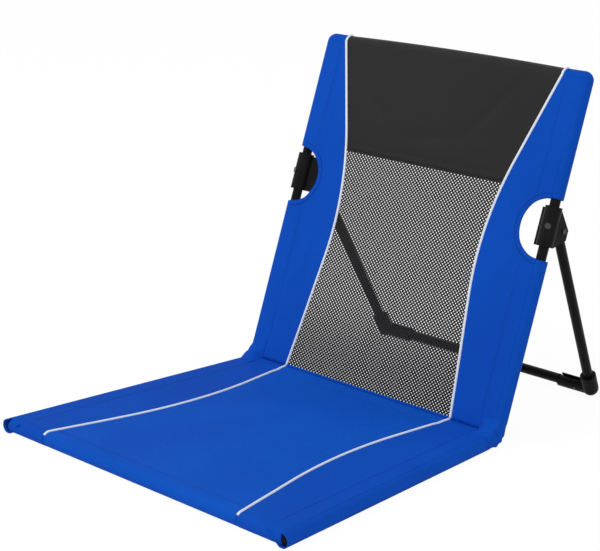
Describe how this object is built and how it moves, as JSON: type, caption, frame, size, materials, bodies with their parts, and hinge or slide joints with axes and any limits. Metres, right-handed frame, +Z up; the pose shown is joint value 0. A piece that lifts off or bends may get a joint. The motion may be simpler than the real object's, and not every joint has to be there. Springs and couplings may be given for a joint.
{
  "type": "folding sun lounger",
  "caption": "Low folding floor lounger: cloth seat on the ground, leaning cloth back with mesh and headrest panels, prop leg frame behind, folding in depth and in width.",
  "frame": {"origin": "on the floor under the middle of the unfolded lounger", "axes": "+X to the right of someone facing its front edge, +Y from the front edge to the rear, +Z up"},
  "size_m": [0.5464, 0.6904, 0.4793],
  "materials": {
    "blue_cloth": "woven oxford cloth, satin",
    "black_cloth": "woven oxford cloth, satin",
    "black_mesh": "open knitted mesh",
    "piping": "pale reflective piping",
    "frame_paint": "black powder coat",
    "moulding": "black moulded nylon",
    "rivet": "black coated steel"
  },
  "bodies": {
    "seat_left": {"seat_tube_left": "frame_paint", "seat_hinge_left": "moulding", "front_elbow_left": "moulding", "seat_pins_left": "rivet", "seat_side_left": "blue_cloth", "seat_piping_left": "piping", "seat_centre": "blue_cloth"},
    "seat_right": {"seat_tube_right": "frame_paint", "seat_hinge_right": "moulding", "front_elbow_right": "moulding", "seat_pins_right": "rivet", "seat_side_right": "blue_cloth", "seat_piping_right": "piping"},
    "back_left": {"back_tube_left": "frame_paint", "back_hinge_left": "moulding", "top_elbow_left": "moulding", "leg_bracket_left": "moulding", "back_pins_left": "rivet", "back_side_left": "blue_cloth", "back_piping_left": "piping", "headrest": "black_cloth", "mesh_panel": "black_mesh"},
    "back_right": {"back_tube_right": "frame_paint", "back_hinge_right": "moulding", "top_elbow_right": "moulding", "leg_bracket_right": "moulding", "back_pins_right": "rivet", "back_side_right": "blue_cloth", "back_piping_right": "piping"},
    "leg_left": {"leg_tube_left": "frame_paint", "leg_eye_left": "moulding", "foot_elbow_left": "moulding", "leg_pins_left": "rivet"},
    "leg_right": {"leg_tube_right": "frame_paint", "leg_eye_right": "moulding", "foot_elbow_right": "moulding", "leg_pins_right": "rivet"},
    "front_bar_left": {"front_bar_tube_left": "frame_paint", "front_bar_end_left": "moulding", "front_bar_clevis": "moulding", "front_bar_pin": "rivet"},
    "front_bar_right": {"front_bar_tube_right": "frame_paint", "front_bar_end_right": "moulding", "front_bar_tongue": "moulding"},
    "top_bar_left": {"top_bar_tube_left": "frame_paint", "top_bar_end_left": "moulding", "top_bar_clevis": "moulding", "top_bar_pin": "rivet"},
    "top_bar_right": {"top_bar_tube_right": "frame_paint", "top_bar_end_right": "moulding", "top_bar_tongue": "moulding"},
    "foot_bar_left": {"foot_bar_tube_left": "frame_paint", "foot_bar_end_left": "moulding", "foot_bar_clevis": "moulding", "foot_bar_pin": "rivet"},
    "foot_bar_right": {"foot_bar_tube_right": "frame_paint", "foot_bar_end_right": "moulding", "foot_bar_tongue": "moulding"}
  },
  "joints": [
    {"name": "width_fold", "type": "hinge", "parent": "seat_left", "child": "front_bar_left", "pos_m": [-0.176, -0.335, 0.0098], "axis": [0, 0, 1], "range_deg": [0, 80], "deforming": ["seat_side_left", "seat_side_right", "seat_centre", "seat_piping_left", "seat_piping_right", "back_side_left", "back_side_right", "headrest", "mesh_panel", "back_piping_left", "back_piping_right"]},
    {"name": "front_bar_middle", "type": "hinge", "parent": "front_bar_left", "child": "front_bar_right", "pos_m": [0, -0.3375, 0.0098], "axis": [0, 0, 1], "range_deg": [-160, 0]},
    {"name": "front_bar_right_end", "type": "hinge", "parent": "front_bar_right", "child": "seat_right", "pos_m": [0.176, -0.335, 0.0098], "axis": [0, 0, 1], "range_deg": [0, 80]},
    {"name": "back_fold", "type": "hinge", "parent": "seat_left", "child": "back_left", "pos_m": [-0.23, 0.07545, 0.0203], "axis": [1, 0, 0], "range_deg": [0, 110]},
    {"name": "back_fold_right", "type": "hinge", "parent": "seat_right", "child": "back_right", "pos_m": [0.23, 0.07545, 0.0203], "axis": [1, 0, 0], "range_deg": [0, 110]},
    {"name": "leg_fold", "type": "hinge", "parent": "back_left", "child": "leg_left", "pos_m": [-0.224, 0.20667, 0.2712], "axis": [-1, 0, 0], "range_deg": [0, 46.04]},
    {"name": "leg_fold_right", "type": "hinge", "parent": "back_right", "child": "leg_right", "pos_m": [0.224, 0.20667, 0.2712], "axis": [-1, 0, 0], "range_deg": [0, 46.04]},
    {"name": "top_bar_left_end", "type": "hinge", "parent": "back_left", "child": "top_bar_left", "pos_m": [-0.176, 0.24998, 0.46912], "axis": [0, 0.9397, -0.342], "range_deg": [0, 80]},
    {"name": "top_bar_middle", "type": "hinge", "parent": "top_bar_left", "child": "top_bar_right", "pos_m": [0, 0.25083, 0.47147], "axis": [0, 0.9397, -0.342], "range_deg": [-160, 0]},
    {"name": "foot_bar_left_end", "type": "hinge", "parent": "leg_left", "child": "foot_bar_left", "pos_m": [-0.176, 0.3338, 0.011], "axis": [0, -0.8985, -0.439], "range_deg": [0, 80]},
    {"name": "foot_bar_middle", "type": "hinge", "parent": "foot_bar_left", "child": "foot_bar_right", "pos_m": [0, 0.3349, 0.00875], "axis": [0, -0.8985, -0.439], "range_deg": [-160, 0]}
  ],
  "couplings": [
    {"joint": "front_bar_middle", "follows": "width_fold", "ratio": -2},
    {"joint": "front_bar_right_end", "follows": "width_fold", "ratio": 1},
    {"joint": "back_fold_right", "follows": "back_fold", "ratio": 1},
    {"joint": "leg_fold_right", "follows": "leg_fold", "ratio": 1},
    {"joint": "top_bar_left_end", "follows": "width_fold", "ratio": 1},
    {"joint": "top_bar_middle", "follows": "width_fold", "ratio": -2},
    {"joint": "foot_bar_left_end", "follows": "width_fold", "ratio": 1},
    {"joint": "foot_bar_middle", "follows": "width_fold", "ratio": -2}
  ]
}
